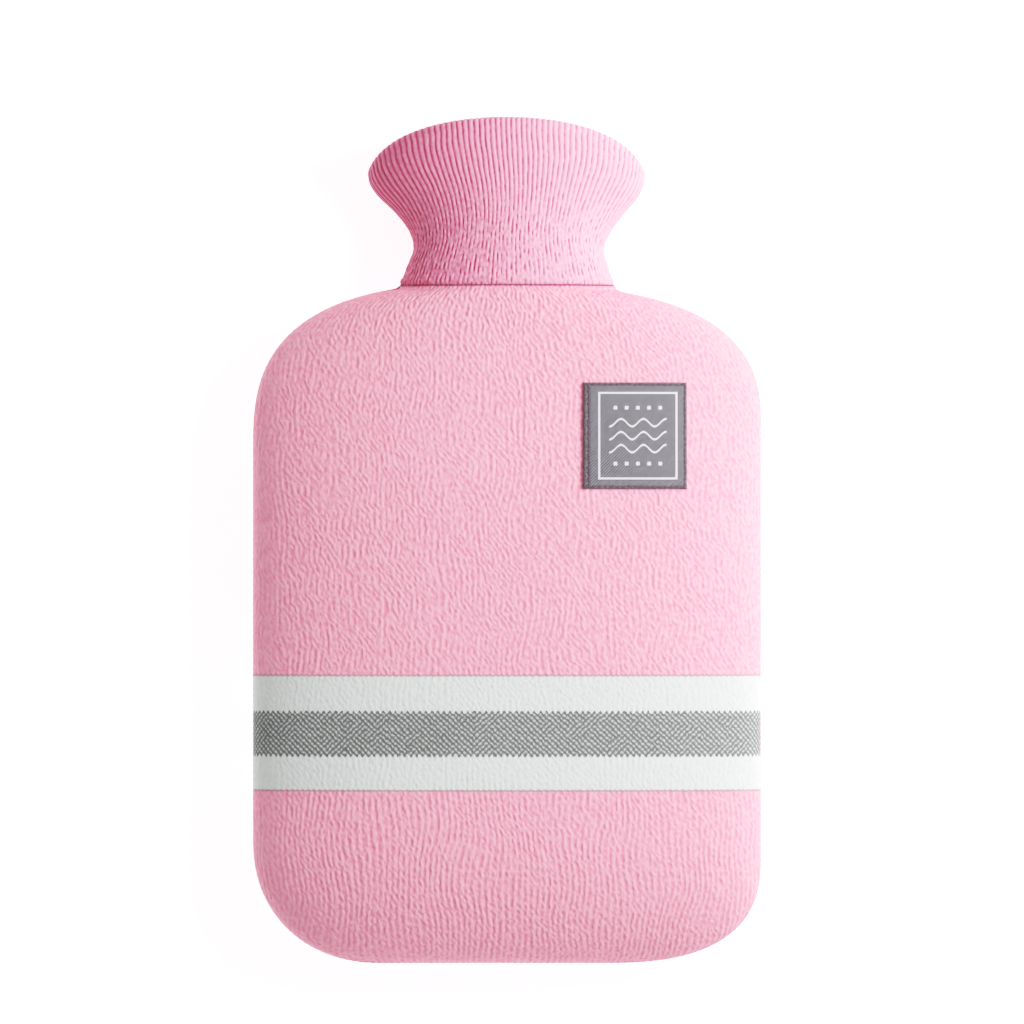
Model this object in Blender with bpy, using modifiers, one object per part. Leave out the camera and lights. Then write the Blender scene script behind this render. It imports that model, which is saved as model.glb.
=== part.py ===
"""Knitted cover for a hot water bottle, filled out as in use and lying on its back.

A front and a back panel meet along the sides and the bottom. A ribbed collar stands on
their top edge and turns in at its mouth, and a woven label lies on the front. The cover
is hollow and open at the mouth.

Metres. +Z points out of the front, +Y towards the mouth, X across. The origin is on the
surface that the cover lies on, under the middle of the cover.
"""
import math

import bmesh
import bpy
from mathutils import Vector

# ------------------------------------------------------------------ driving dimensions
LENGTH = 0.340               # bottom seam to the top of the mouth
HALF_WIDTH = 0.1022          # middle of the cover to the side seam
KNIT = 0.003                 # thickness of the knitted cloth
GAP = 0.0003                 # left between pieces that touch

# The body's swell. The powers shape superellipses: 2 is an ellipse, more is boxier.
SEAM_HEIGHT = 0.024          # side and bottom seam above the floor
FRONT_CROWN = 0.026          # swell of the front above the seam
BACK_CROWN = 0.0275          # swell of the back, before the floor presses it flat
CROWN_RUN = 0.055            # way from the bottom seam to the full swell
CROWN_POWER = 2.2
BODY_POWER = 2.5             # section across the body
COLLAR_POWER = 2.05          # section across the collar
NARROWING_FROM = 0.185       # where the swell starts to sink towards the collar

# The body's outline, seen from the front. Its two sides differ, as on any knitted thing:
# the left bottom corner is cut rounder, and the right shoulder flows into the collar.
LEFT = {
    "bottom_flat": 0.051,
    "corner_height": 0.049,
    "corner_power": 2.15,
    "shoulder_from": 0.207,
    "shoulder_top": 0.2738,
    "shoulder_power": 2.8,
    "fillet": 0.001,
}
RIGHT = {
    "bottom_flat": 0.038,
    "corner_height": 0.043,
    "corner_power": 2.65,
    "shoulder_from": 0.216,
    "shoulder_top": 0.2726,
    "shoulder_power": 2.65,
    "fillet": 0.005,
}
PANEL_TOP = 0.2724           # top edge of the panels, where the collar is sewn on
LIP = 0.0008                 # last short rise of the panels to that edge

# The collar's outer wall from its base (0) to the start of its turned-in mouth (1). It
# leans a little to the right where it is narrow. Its front flares up, while its back is
# held down by the surface that the cover lies on.
HALF, FRONT, BACK, LEAN = 1, 2, 3, 4
COLLAR_SECTIONS = (
    # along, half width, front above the seam, back below it, lean
    (0.00, 0.0432, 0.0215, 0.0190, 0.0000),
    (0.16, 0.0408, 0.0235, 0.0192, 0.0002),
    (0.33, 0.0385, 0.0260, 0.0196, 0.0007),
    (0.48, 0.0405, 0.0280, 0.0202, 0.0013),
    (0.65, 0.0458, 0.0305, 0.0210, 0.0013),
    (0.81, 0.0523, 0.0330, 0.0220, 0.0006),
    (0.92, 0.0551, 0.0345, 0.0227, 0.0000),
    (1.00, 0.0558, 0.0355, 0.0231, -0.0002),
)
MOUTH_TIP = 0.3165           # start of the turned-in mouth at the collar's sides
MOUTH_ARCH = 0.0192          # how much higher it starts in the middle of front and back
ARCH_ROUNDING = 0.30         # softness of the arch's dip at the sides
ARCH_POWER = 0.75
RIBS = 112                   # around the collar
RIB_HEIGHT = 0.0007
FAN = 0.09                   # how much the ribs crowd to the middle at the mouth
MOUTH_FOLD = 0.007           # thickness of the rounded edge of the mouth
HEM = 0.0052                 # thickness of the two layers at the hem's end
HEM_END = 0.60               # place of the hem's end along the collar
HEM_STEP = 0.04              # length of the step there

LABEL_WIDTH = 0.0415
LABEL_HEIGHT = 0.0427
LABEL_CENTRE = (0.0513, 0.2120)
LABEL_THICKNESS = 0.001

# ------------------------------------------------------------------ fineness of the mesh
PANEL_COLUMNS = 30
CORNER_ROWS = 8
SIDE_ROWS = 5
SHOULDER_ROWS = 10
COLLAR_ROWS = (0.0, 0.16, 0.33, 0.48, 0.65, 0.81, 0.92, 1.0)
FOLD_STEPS = 4
LABEL_CELLS = 8

# Colours: linear RGB of the yarns.
PINK = (0.86, 0.50, 0.60, 1.0)
DEEP_PINK = (0.82, 0.45, 0.56, 1.0)
GREY = (0.34, 0.34, 0.38, 1.0)
YARN_ROUGHNESS = 0.9
LABEL_ROUGHNESS = 0.75

COLLECTION = "hot_water_bottle_cover"


# ------------------------------------------------------------------ small helpers
def superellipse(distance, power):
    """Height of a unit superellipse at a distance (0 to 1) from its middle."""
    return (1.0 - min(1.0, abs(distance)) ** power) ** (1.0 / power)


def section_direction(turn, power):
    """Unit superellipse point at an angle, as (across, up)."""
    across = math.copysign(abs(math.cos(turn)) ** (2.0 / power), math.cos(turn))
    up = math.copysign(abs(math.sin(turn)) ** (2.0 / power), math.sin(turn))
    return across, up


def smoothstep(value):
    """0 below 0, 1 above 1, and a soft S between."""
    value = max(0.0, min(1.0, value))
    return value * value * (3.0 - 2.0 * value)


def soft_max(a, b, softness):
    """The larger of two lengths, with a fillet of about the softness where they cross."""
    return 0.5 * (a + b + math.sqrt((a - b) ** 2 + softness ** 2))


def table_value(table, column, at):
    """Smooth line through one column of a table whose first column is the position."""
    last = len(table) - 1
    row = 0
    while row < last - 1 and at > table[row + 1][0]:
        row += 1

    def slope(index):
        low = table[max(index - 1, 0)]
        high = table[min(index + 1, last)]
        return (high[column] - low[column]) / (high[0] - low[0])

    start, end = table[row], table[row + 1]
    span = end[0] - start[0]
    t = (at - start[0]) / span
    blend = t * t * (3.0 - 2.0 * t)
    return (start[column] * (1.0 - blend) + end[column] * blend
            + span * t * (1.0 - t) * ((1.0 - t) * slope(row) - t * slope(row + 1)))


def material(name, color, roughness):
    """A plain Principled material in a yarn's colour."""
    made = bpy.data.materials.new(name)
    made.use_nodes = True
    shader = made.node_tree.nodes["Principled BSDF"]
    shader.inputs["Base Color"].default_value = color
    shader.inputs["Roughness"].default_value = roughness
    shader.inputs["Metallic"].default_value = 0.0
    made.diffuse_color = color
    return made


def add_object(name, mesh, surface):
    """Link a mesh as a named piece, with the cover's middle over the origin."""
    mesh.materials.append(surface)
    piece = bpy.data.objects.new(name, mesh)
    piece.location = (0.0, -LENGTH / 2.0, 0.0)
    bpy.data.collections[COLLECTION].objects.link(piece)
    return piece


def quads_between(bm, first, second, closed=False):
    """Faces between two rows of as many points; closed rows join end to start."""
    count = len(first)
    for i in range(count if closed else count - 1):
        j = (i + 1) % count
        bm.faces.new((first[i], first[j], second[j], second[i]))


def finish_mesh(bm, name):
    """Write the faces to a mesh, pointing outwards and shaded smooth."""
    bmesh.ops.recalc_face_normals(bm, faces=bm.faces)
    mesh = bpy.data.meshes.new(name)
    bm.to_mesh(mesh)
    bm.free()
    mesh.shade_smooth()
    return mesh


# ------------------------------------------------------------------ the body's panels
def half_width(side, y):
    """Distance from the middle of the cover to one side's outline at a height."""
    if y < side["corner_height"]:
        drop = 1.0 - y / side["corner_height"]
        corner = HALF_WIDTH - side["bottom_flat"]
        return side["bottom_flat"] + corner * superellipse(drop, side["corner_power"])
    if y > side["shoulder_from"]:
        rise = (y - side["shoulder_from"]) / (side["shoulder_top"] - side["shoulder_from"])
        shoulder = HALF_WIDTH * superellipse(rise, side["shoulder_power"])
        return soft_max(shoulder, COLLAR_SECTIONS[0][HALF], side["fillet"])
    return HALF_WIDTH


def swell(y, facing):
    """How far the middle of the front (1) or of the back (-1) stands off the seam."""
    crown = FRONT_CROWN if facing > 0 else BACK_CROWN
    base = COLLAR_SECTIONS[0][FRONT if facing > 0 else BACK]
    rise = superellipse(1.0 - min(1.0, y / CROWN_RUN), CROWN_POWER)
    narrowing = smoothstep((y - NARROWING_FROM) / (PANEL_TOP - NARROWING_FROM))
    return rise * (crown + (base - crown) * narrowing)


def section_power(y):
    """Boxiness of the body's section, which turns into the collar's at the top."""
    narrowing = smoothstep((y - NARROWING_FROM) / (PANEL_TOP - NARROWING_FROM))
    return BODY_POWER + (COLLAR_POWER - BODY_POWER) * narrowing


def panel_point(y, turn, facing):
    """Outer surface of the body; turn runs from the right seam (0) to the left one (pi)."""
    side = RIGHT if math.cos(turn) > 0.0 else LEFT
    across, up = section_direction(turn, section_power(y))
    z = SEAM_HEIGHT + facing * (GAP / 2.0 + swell(y, facing) * max(0.0, up))
    return Vector((across * half_width(side, y), y, max(0.0, z)))


def front_height(x, y):
    """Height of the front's outer surface over a place."""
    side = RIGHT if x > 0.0 else LEFT
    power = section_power(y)
    up = superellipse(x / half_width(side, y), power)
    return SEAM_HEIGHT + GAP / 2.0 + swell(y, 1) * up


def panel_heights():
    """Heights of the panel's sections, closest where the outline turns."""
    corner = max(LEFT["corner_height"], RIGHT["corner_height"])
    shoulder = min(LEFT["shoulder_from"], RIGHT["shoulder_from"])
    quarter = math.pi / 2.0
    heights = [corner * (1.0 - math.cos(quarter * i / CORNER_ROWS)) for i in range(CORNER_ROWS)]
    heights += [corner + (shoulder - corner) * i / SIDE_ROWS for i in range(SIDE_ROWS)]
    rise = max(LEFT["shoulder_top"], RIGHT["shoulder_top"]) - shoulder
    lip = PANEL_TOP - LIP
    end = math.asin((lip - shoulder) / rise)
    heights += [shoulder + rise * math.sin(end * i / SHOULDER_ROWS)
                for i in range(SHOULDER_ROWS + 1)]
    return heights + [PANEL_TOP]


def panel_mesh(name, facing):
    """A dished panel: its outer surface, the same moved inwards by the knit, and the rim.

    The rim lies in the seam's plane along the sides and bottom, and in the collar's plane
    at the top, so that the pieces meet face to face.
    """
    bm = bmesh.new()
    turns = [math.pi * i / PANEL_COLUMNS for i in range(PANEL_COLUMNS + 1)]
    outer = [[bm.verts.new(panel_point(y, turn, facing)) for turn in turns]
             for y in panel_heights()]
    for low, high in zip(outer, outer[1:]):
        quads_between(bm, low, high)
    bm.normal_update()
    outwards = facing if outer[len(outer) // 2][PANEL_COLUMNS // 2].normal.z > 0 else -facing

    inner = []
    for row_index, row in enumerate(outer):
        inner_row = []
        for column, vert in enumerate(row):
            normal = outwards * vert.normal
            if row_index == 0 or column in (0, PANEL_COLUMNS):
                normal.z = 0.0
            if row_index == len(outer) - 1:
                normal.y = 0.0
            inner_row.append(bm.verts.new(vert.co - KNIT * normal.normalized()))
        inner.append(inner_row)
    for low, high in zip(inner, inner[1:]):
        quads_between(bm, low, high)

    quads_between(bm, outer[0], inner[0])
    quads_between(bm, outer[-1], inner[-1])
    for column in (0, PANEL_COLUMNS):
        quads_between(bm, [row[column] for row in outer], [row[column] for row in inner])
    return finish_mesh(bm, name)


# ------------------------------------------------------------------ the ribbed collar
def arch(turn):
    """Lift of the mouth's edge: 0 at the collar's sides, 1 in the middle of front and back."""
    def curve(sine):
        return (sine ** 2 + ARCH_ROUNDING ** 2) ** (ARCH_POWER / 2.0)
    return (curve(math.sin(turn)) - curve(0.0)) / (curve(1.0) - curve(0.0))


def collar_point(along, turn):
    """Outer surface of the collar without its ribs, from base (0) to mouth (1)."""
    turn += FAN * along * math.sin(2.0 * turn)
    across, up = section_direction(turn, COLLAR_POWER)
    base = PANEL_TOP + GAP
    top = MOUTH_TIP + MOUTH_ARCH * arch(turn)
    half, lean = (table_value(COLLAR_SECTIONS, column, along) for column in (HALF, LEAN))
    depth = table_value(COLLAR_SECTIONS, FRONT if up > 0.0 else BACK, along)
    return Vector((across * half + lean, base + (top - base) * along, SEAM_HEIGHT + up * depth))


def collar_frame(along, turn):
    """Outward normal of the collar and the direction along its wall, towards the mouth."""
    step = 1e-4
    around = collar_point(along, turn + step) - collar_point(along, turn - step)
    low = collar_point(max(0.0, along - step), turn)
    high = collar_point(min(1.0, along + step), turn)
    normal = around.cross(high - low).normalized()
    upwards = normal.cross(around).normalized()
    if upwards.y < 0.0:
        upwards.negate()
    middle = Vector((0.0, normal.y, SEAM_HEIGHT))
    if (collar_point(along, turn) - middle).dot(Vector((normal.x, 0.0, normal.z))) < 0.0:
        normal.negate()
    return normal, upwards


def collar_thickness(along):
    """One layer of knit up to the hem's end, then two, swelling into the mouth's edge."""
    doubled = smoothstep((along - HEM_END) / HEM_STEP)
    swollen = HEM + (MOUTH_FOLD - HEM) * smoothstep((along - HEM_END) / (1.0 - HEM_END))
    return KNIT + (swollen - KNIT) * doubled


def even_turns(count):
    """Angles that space the ribs evenly around the collar's narrowest section."""
    fine = 3600
    narrow = min(COLLAR_SECTIONS, key=lambda row: row[HALF])
    points = []
    for i in range(fine + 1):
        across, up = section_direction(2.0 * math.pi * i / fine, COLLAR_POWER)
        points.append((across * narrow[HALF], up * narrow[FRONT if up > 0.0 else BACK]))
    lengths = [0.0]
    for a, b in zip(points, points[1:]):
        lengths.append(lengths[-1] + math.dist(a, b))
    turns = []
    i = 0
    for n in range(count):
        wanted = lengths[-1] * n / count
        while lengths[i + 1] < wanted:
            i += 1
        part = (wanted - lengths[i]) / (lengths[i + 1] - lengths[i])
        turns.append(2.0 * math.pi * (i + part) / fine)
    return turns


def collar_column(turn, rib):
    """Closed section through the collar's wall, hem and rounded mouth at one angle."""
    points = []
    for along in COLLAR_ROWS:
        normal, _ = collar_frame(along, turn)
        if along == 0.0:
            normal.y = 0.0
            normal.normalize()
        points.append(collar_point(along, turn) + rib * normal)

    normal, upwards = collar_frame(1.0, turn)
    radius = MOUTH_FOLD / 2.0
    centre = collar_point(1.0, turn) - radius * normal
    for i in range(1, FOLD_STEPS):
        angle = math.pi * i / FOLD_STEPS
        reach = radius + (rib if i == 1 else 0.0)
        points.append(centre + reach * (math.cos(angle) * normal + math.sin(angle) * upwards))

    inside = [along for along in COLLAR_ROWS if along > HEM_END + HEM_STEP]
    inside = sorted(inside + [HEM_END + HEM_STEP], reverse=True)
    inside += [HEM_END] + sorted((a for a in COLLAR_ROWS if a < HEM_END), reverse=True)
    for along in inside:
        normal, _ = collar_frame(along, turn)
        if along == 0.0:
            normal.y = 0.0
            normal.normalize()
        points.append(collar_point(along, turn) - collar_thickness(along) * normal)
    return points


def collar_mesh(name):
    """The collar: one closed section for each rib's crest and each valley."""
    bm = bmesh.new()
    columns = []
    for index, turn in enumerate(even_turns(2 * RIBS)):
        rib = RIB_HEIGHT / 2.0 if index % 2 == 0 else -RIB_HEIGHT / 2.0
        columns.append([bm.verts.new(point) for point in collar_column(turn, rib)])
    for first, second in zip(columns, columns[1:] + columns[:1]):
        quads_between(bm, first, second, closed=True)
    return finish_mesh(bm, name)


# ------------------------------------------------------------------ the label
def label_object(surface):
    """A flat woven label that follows the front, a gap above it."""
    bm = bmesh.new()
    bmesh.ops.create_grid(bm, x_segments=LABEL_CELLS, y_segments=LABEL_CELLS, size=0.5)
    for vert in bm.verts:
        x = LABEL_CENTRE[0] + vert.co.x * LABEL_WIDTH
        y = LABEL_CENTRE[1] + vert.co.y * LABEL_HEIGHT
        vert.co = (x, y, front_height(x, y) + GAP)
    mesh = bpy.data.meshes.new("label")
    bm.to_mesh(mesh)
    bm.free()
    label = add_object("label", mesh, surface)
    thickness = label.modifiers.new("thickness", "SOLIDIFY")
    thickness.thickness = LABEL_THICKNESS
    thickness.offset = 1.0
    return label


def main():
    """Build the four pieces in a collection named for the object."""
    for old in list(bpy.data.objects):
        bpy.data.objects.remove(old)
    bpy.context.scene.collection.children.link(bpy.data.collections.new(COLLECTION))

    body_knit = material("body_knit", PINK, YARN_ROUGHNESS)
    rib_knit = material("rib_knit", DEEP_PINK, YARN_ROUGHNESS)
    label_weave = material("label_weave", GREY, LABEL_ROUGHNESS)

    add_object("front_panel", panel_mesh("front_panel", 1), body_knit)
    add_object("back_panel", panel_mesh("back_panel", -1), body_knit)
    add_object("neck_collar", collar_mesh("neck_collar"), rib_knit)
    label_object(label_weave)


main()
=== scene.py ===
# %% [markdown]
# # A knitted hot water bottle cover
# The cover is four pieces of cloth: a front and a back panel that are sewn together
# round the edge, a ribbed collar on top of them, and a small woven label. The packed
# frame gives their real sizes and places. This lesson dresses each of them: it lays a
# fine mesh on the solid's shape, raises the knit with Geometry Nodes, gives the yarn a
# procedural material and adds the sewing.

# %% Load the frame
import math

import bmesh
import bpy
import numpy as np
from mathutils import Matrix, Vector, noise


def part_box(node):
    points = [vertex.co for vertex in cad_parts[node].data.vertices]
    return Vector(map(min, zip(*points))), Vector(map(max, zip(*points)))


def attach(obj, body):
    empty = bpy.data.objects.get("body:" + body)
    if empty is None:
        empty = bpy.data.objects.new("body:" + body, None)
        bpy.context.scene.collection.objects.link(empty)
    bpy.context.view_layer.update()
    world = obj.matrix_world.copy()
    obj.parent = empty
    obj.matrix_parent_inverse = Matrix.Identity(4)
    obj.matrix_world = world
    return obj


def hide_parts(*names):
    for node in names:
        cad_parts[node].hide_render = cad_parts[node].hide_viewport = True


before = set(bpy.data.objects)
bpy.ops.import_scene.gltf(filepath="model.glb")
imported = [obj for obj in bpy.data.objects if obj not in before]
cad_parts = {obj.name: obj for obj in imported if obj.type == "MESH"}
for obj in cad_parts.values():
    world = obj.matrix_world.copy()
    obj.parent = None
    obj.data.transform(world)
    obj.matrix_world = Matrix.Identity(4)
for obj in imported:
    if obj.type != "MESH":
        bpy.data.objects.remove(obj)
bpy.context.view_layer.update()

MM = 0.001

# %% [markdown]
# ## The sizes that everything follows
# The boxes of the nodes give the lengths. What a box can't tell is how the outline turns
# its corners and how the swell of the filled cover rises, so those few values are named
# here. The corners and the sections are superellipses: with a power of 2 they are
# ellipses, and a larger power makes them boxier.

# %% Sizes from the frame
front_low, front_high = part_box("front_panel")
_, back_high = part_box("back_panel")
label_low, label_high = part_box("label")

BOTTOM = front_low.y                          # bottom seam
PANEL_TOP = front_high.y                      # where the collar is sewn on
HALF_WIDTH = (front_high.x - front_low.x) / 2
SEAM_Z = (front_low.z + back_high.z) / 2      # height of the side and bottom seam
KNIT = 3 * MM                                 # thickness of the cloth
GAP = 0.3 * MM                                # between two sewn pieces
FRONT_CROWN = front_high.z - SEAM_Z - GAP / 2
print("body half width", round(HALF_WIDTH / MM, 1), "mm, seam at", round(SEAM_Z / MM, 1), "mm")

# %% Shape of the body
BACK_CROWN = 27.5 * MM       # swell of the back, before the floor presses it flat
CROWN_RUN = 55 * MM          # way from the bottom seam to the full swell
CROWN_POWER = 2.2
BODY_POWER = 2.5
COLLAR_POWER = 2.05
NARROWING_FROM = BOTTOM + 185 * MM
COLLAR_BASE = 43.2 * MM      # half width where the collar is sewn on
COLLAR_BASE_FRONT = 21.5 * MM  # front of the collar there, above the seam
COLLAR_BASE_BACK = 19.0 * MM
# Each side's straight part and corner at the bottom, its shoulder's start and end, and the
# fillet between the shoulder and the collar
LEFT = {"flat": 51 * MM, "corner": 49 * MM, "corner_power": 2.15,
        "shoulder": 207 * MM, "top": 273.8 * MM, "shoulder_power": 2.8, "fillet": 1 * MM}
RIGHT = {"flat": 38 * MM, "corner": 43 * MM, "corner_power": 2.65,
         "shoulder": 216 * MM, "top": 272.6 * MM, "shoulder_power": 2.65, "fillet": 5 * MM}

# %% The body's outline and its surface
def superellipse(distance, power):
    """Height of a unit superellipse at a distance (0 to 1) from its middle."""
    return (1.0 - np.clip(np.abs(distance), 0.0, 1.0) ** power) ** (1.0 / power)


def join(*coordinates):
    """Points from their coordinates, each of them a grid or one number."""
    return np.stack(np.broadcast_arrays(*coordinates), axis=-1)


def smoothstep(value):
    value = np.clip(value, 0.0, 1.0)
    return value * value * (3.0 - 2.0 * value)


def side_width(side, y):
    """Distance from the cover's middle to one side's outline."""
    rise = y - BOTTOM
    corner = (side["flat"] + (HALF_WIDTH - side["flat"])
              * superellipse(1.0 - np.minimum(rise / side["corner"], 1.0), side["corner_power"]))
    up = (rise - side["shoulder"]) / (side["top"] - side["shoulder"])
    shoulder = HALF_WIDTH * superellipse(np.maximum(up, 0.0), side["shoulder_power"])
    apart = np.sqrt((shoulder - COLLAR_BASE) ** 2 + side["fillet"] ** 2)
    filleted = 0.5 * (shoulder + COLLAR_BASE + apart)
    return np.where(up > 0.0, filleted, corner)


def half_width(to_right, y):
    """Distance from the middle to the outline on the side that to_right tells."""
    return np.where(to_right > 0.0, side_width(RIGHT, y), side_width(LEFT, y))


def full_width(y):
    return side_width(LEFT, y) + side_width(RIGHT, y)


def narrowing(y):
    """0 along the body, rising to 1 where the collar is sewn on."""
    return smoothstep((y - NARROWING_FROM) / (PANEL_TOP - NARROWING_FROM))


def swell(y, facing):
    """How far the middle of the front (1) or of the back (-1) stands off the seam."""
    crown, base = (FRONT_CROWN, COLLAR_BASE_FRONT) if facing > 0 else (BACK_CROWN, COLLAR_BASE_BACK)
    rise = superellipse(1.0 - np.clip((y - BOTTOM) / CROWN_RUN, 0.0, 1.0), CROWN_POWER)
    return rise * (crown + (base - crown) * narrowing(y))


def section_power(y):
    return BODY_POWER + (COLLAR_POWER - BODY_POWER) * narrowing(y)


def signed_power(value, power):
    return np.sign(value) * np.abs(value) ** power


def panel_surface(y, turn, facing):
    """Body points at heights y and angles turn, from the right seam (0) to the left (pi)."""
    flatness = 2.0 / section_power(y)
    across = signed_power(np.cos(turn), flatness)
    up = np.maximum(np.sin(turn), 0.0) ** flatness
    z = SEAM_Z + facing * (GAP / 2 + swell(y, facing) * up)
    return join(across * half_width(across, y), y, np.maximum(z, 0.0))


def front_height(x, y):
    """Height of the front's surface over a place."""
    width = half_width(x, y)
    return SEAM_Z + GAP / 2 + swell(y, 1) * superellipse(x / width, section_power(y))


print("front is", round(float(front_height(0.0, 0.0)) / MM, 1), "mm high in the middle")

# %% [markdown]
# ## Formulas as nodes
# The knit is a rule: wales, the upright columns of stitches, stand side by side and bend
# a little. The same rule has to raise the mesh, in a geometry tree, and shade the yarn,
# in a material. Maths and noise nodes work in both kinds of tree, so one small helper
# writes a formula into either. The light uses it too.

# %% A helper that writes formulas into a node tree
NOISE_RANGE = 3.2            # stretches Blender's noise of 0 to 1, whose middle it keeps
SEED_STEP = (7.3, 3.1, 5.7)  # how far apart the places of two noises are read


class Formula:
    """Adds the nodes of a formula to a geometry tree, a material's tree or the world's."""

    def __init__(self, tree):
        self.tree = tree

    def node(self, kind, inputs=(), **settings):
        """A new node with its settings, and its inputs fed by name or number."""
        made = self.tree.nodes.new(kind)
        for name, value in settings.items():
            setattr(made, name, value)
        for socket, value in dict(inputs).items():
            self.feed(made.inputs[socket], value)
        return made

    def out(self, kind, inputs=(), **settings):
        """The first output of such a node."""
        return self.node(kind, inputs, **settings).outputs[0]

    def feed(self, socket, value):
        if isinstance(value, bpy.types.NodeSocket):
            self.tree.links.new(value, socket)
        else:
            socket.default_value = value

    def maths(self, operation, *values):
        return self.out("ShaderNodeMath", enumerate(values), operation=operation)

    def vector(self, operation, *values):
        return self.out("ShaderNodeVectorMath", enumerate(values), operation=operation)

    def scaled(self, vector, size):
        return self.out("ShaderNodeVectorMath", {0: vector, "Scale": size}, operation="SCALE")

    def split(self, vector):
        """The x, y and z of a vector."""
        return self.node("ShaderNodeSeparateXYZ", {0: vector}).outputs

    def add(self, a, b):
        return self.maths("ADD", a, b)

    def times(self, a, b):
        return self.maths("MULTIPLY", a, b)

    def times_add(self, a, b, c):
        return self.maths("MULTIPLY_ADD", a, b, c)

    def wave(self, turns):
        """1 where turns is whole, 0 halfway between."""
        return self.times_add(self.maths("COSINE", self.times(turns, 2 * math.pi)), 0.5, 0.5)

    def ramp(self, value, low, high, start=0.0, end=1.0):
        """A soft rise from start to end while the value goes from low to high."""
        given = enumerate((value, low, high, start, end))
        return self.out("ShaderNodeMapRange", given, interpolation_type="SMOOTHSTEP")

    def between(self, value, low, high, softness):
        """1 between two values and 0 outside them."""
        rise = self.ramp(value, low - softness, low + softness)
        fall = self.ramp(value, high - softness, high + softness, 1.0, 0.0)
        return self.times(rise, fall)

    def blend(self, share, a, b):
        """From a to b, for numbers."""
        return self.out("ShaderNodeMix", {0: share, 2: a, 3: b}, data_type="FLOAT")

    def tint(self, share, a, b):
        """From a to b, for colours."""
        return self.node("ShaderNodeMix", {0: share, 6: a, 7: b}, data_type="RGBA").outputs[2]

    def noise(self, place, patch, seed, detail=0.0):
        """Random numbers from about -1 to 1, smooth over a patch of a width and a height."""
        width, height = patch
        moved = self.vector("MULTIPLY_ADD", place, (1.0 / width, 1.0 / height, 1.0 / width),
                            [seed * step for step in SEED_STEP])
        made = self.out("ShaderNodeTexNoise", {"Vector": moved, "Scale": 1.0, "Detail": detail},
                        noise_dimensions="3D")
        return self.times_add(made, NOISE_RANGE, -NOISE_RANGE / 2)


# %% [markdown]
# ## Camera, light and floor
# The photo looks straight at the front, so the camera hangs straight above the cover
# with a long lens. A wide soft light from the right throws the furrows of the knit into
# shade, and the white surroundings, a little darker to the left, fill the rest. The film
# curve does what a camera does: it keeps colour in what is bright and deepens what is
# dark. The floor is plain and pale, as a light table is.

# %% Camera
PHOTO_SIZE = 1024            # pixels, both ways
COVER_PIXELS = 845           # length of the cover in the photo
PHOTO_MIDDLE_X = 507         # pixel column of the cover's middle
PHOTO_BOTTOM = 963           # pixel row of its bottom seam
SENSOR = 36.0
CAMERA_RISE = 6.0            # far off, so that near and far parts are drawn alike


def add_object(name, data):
    """A new object in the scene."""
    made = bpy.data.objects.new(name, data)
    bpy.context.scene.collection.objects.link(made)
    return made


metres_per_pixel = 2 * abs(BOTTOM) / COVER_PIXELS
camera_data = bpy.data.cameras.new("camera")
camera = add_object("camera", camera_data)
camera.location = ((PHOTO_SIZE / 2 - PHOTO_MIDDLE_X) * metres_per_pixel,
                   BOTTOM + (PHOTO_BOTTOM - PHOTO_SIZE / 2) * metres_per_pixel,
                   SEAM_Z + CAMERA_RISE)
camera_data.sensor_width = SENSOR
camera_data.lens = SENSOR * CAMERA_RISE / (PHOTO_SIZE * metres_per_pixel)
camera_data.clip_end = 50.0
bpy.context.scene.camera = camera
print("lens", round(camera_data.lens, 1), "mm")

# %% Light
KEY_PLACE = (0.42, 0.16, 0.45)
KEY_SIZE = 0.3
KEY_POWER = 3.8
KEY_COLOUR = (0.97, 1.0, 0.99)
SURROUNDINGS = 0.60
DARKER_LEFT = 0.34           # share that the surroundings lose to the left
BRIGHTER_RIGHT = 0.08        # the most that they gain to the right

key_data = bpy.data.lights.new("key", "AREA")
key_data.size = KEY_SIZE
key_data.energy = KEY_POWER
key_data.color = KEY_COLOUR
key = add_object("key", key_data)
key.location = KEY_PLACE
key.rotation_euler = (-Vector(KEY_PLACE)).to_track_quat("-Z", "Y").to_euler()

world = bpy.data.worlds.new("surroundings")
world.use_nodes = True
background = world.node_tree.nodes["Background"].inputs
background["Color"].default_value = (1.0, 1.0, 1.0, 1.0)
f = Formula(world.node_tree)
to_right = f.split(f.node("ShaderNodeTexCoord").outputs["Generated"])[0]
level = f.times_add(to_right, SURROUNDINGS * DARKER_LEFT, SURROUNDINGS)
f.feed(background["Strength"], f.maths("MINIMUM", level, SURROUNDINGS * (1 + BRIGHTER_RIGHT)))
bpy.context.scene.world = world
print("key light of", KEY_POWER, "W,", round(Vector(KEY_PLACE).length, 2), "m away")

# %% Film
FILM_CURVE = (
    # light, how bright it is shown
    (0.0, 0.0),
    (0.1, 0.06),
    (0.2, 0.155),
    (0.3, 0.28),
    (0.4, 0.4),
    (0.65, 0.63),
    (0.95, 0.82),
    (1.2, 0.91),
    (1.5, 1.0),
)
film = bpy.context.scene.view_settings
film.view_transform = "Standard"
film.use_curve_mapping = True
film.curve_mapping.use_clip = False
*channels, shown = film.curve_mapping.curves
brightest = FILM_CURVE[-1][0]
for channel in channels:
    channel.points[-1].location = (brightest, brightest)
shown.points[-1].location = FILM_CURVE[-1]
for light, brightness in FILM_CURVE[1:-1]:
    shown.points.new(light, brightness)
film.curve_mapping.update()
print("the film shows a light of", brightest, "as white")

# %% Floor
FLOOR_HALF = 3.0
FLOOR_DROP = 0.3 * MM
FLOOR_COLOUR = (0.94, 0.94, 0.94, 1.0)
FLOOR_GLOW = 0.92            # its own light, as a light table has

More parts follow.
